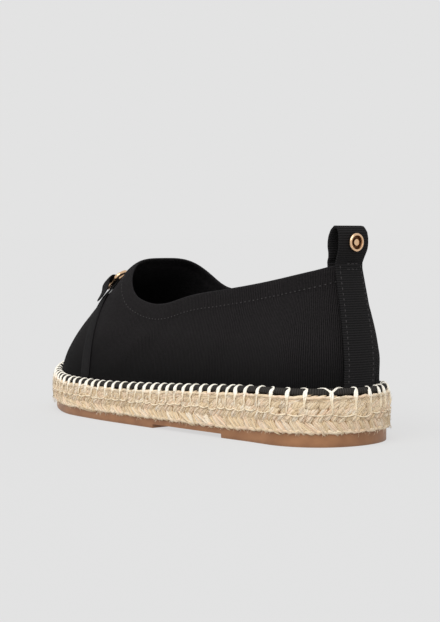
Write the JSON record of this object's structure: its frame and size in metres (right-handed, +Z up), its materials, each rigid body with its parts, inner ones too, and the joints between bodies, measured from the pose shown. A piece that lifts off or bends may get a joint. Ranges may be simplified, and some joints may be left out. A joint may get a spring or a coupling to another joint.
{
  "type": "espadrille",
  "caption": "Left canvas slip-on with a plaited jute sole, a thin rubber outsole, a riveted pull loop at the heel and a ringed bar across the vamp.",
  "frame": {"origin": "on the floor, under the middle of the shoe's bounding box", "axes": "+Z up, toe towards -Y, heel towards +Y, the wearer's left (the lateral side) towards +X"},
  "size_m": [0.093, 0.251, 0.1031],
  "materials": {
    "canvas": "matt ribbed cotton canvas, dyed black",
    "tape": "ribbed cotton tape, dyed black",
    "jute": "raw plaited jute",
    "rubber": "matt tan moulded rubber",
    "sock": "black cotton lining",
    "gilt_brass": "polished rose gilt",
    "thread": "waxed two-ply cotton thread, cream"
  },
  "bodies": {
    "root": {"outsole": "rubber", "jute_sole": "jute", "insole": "sock", "upper": "canvas", "welt": "canvas", "back_strap": "tape", "rivet": "gilt_brass", "side_strap_lateral": "canvas", "side_strap_medial": "canvas", "bit": "gilt_brass"}
  },
  "joints": []
}
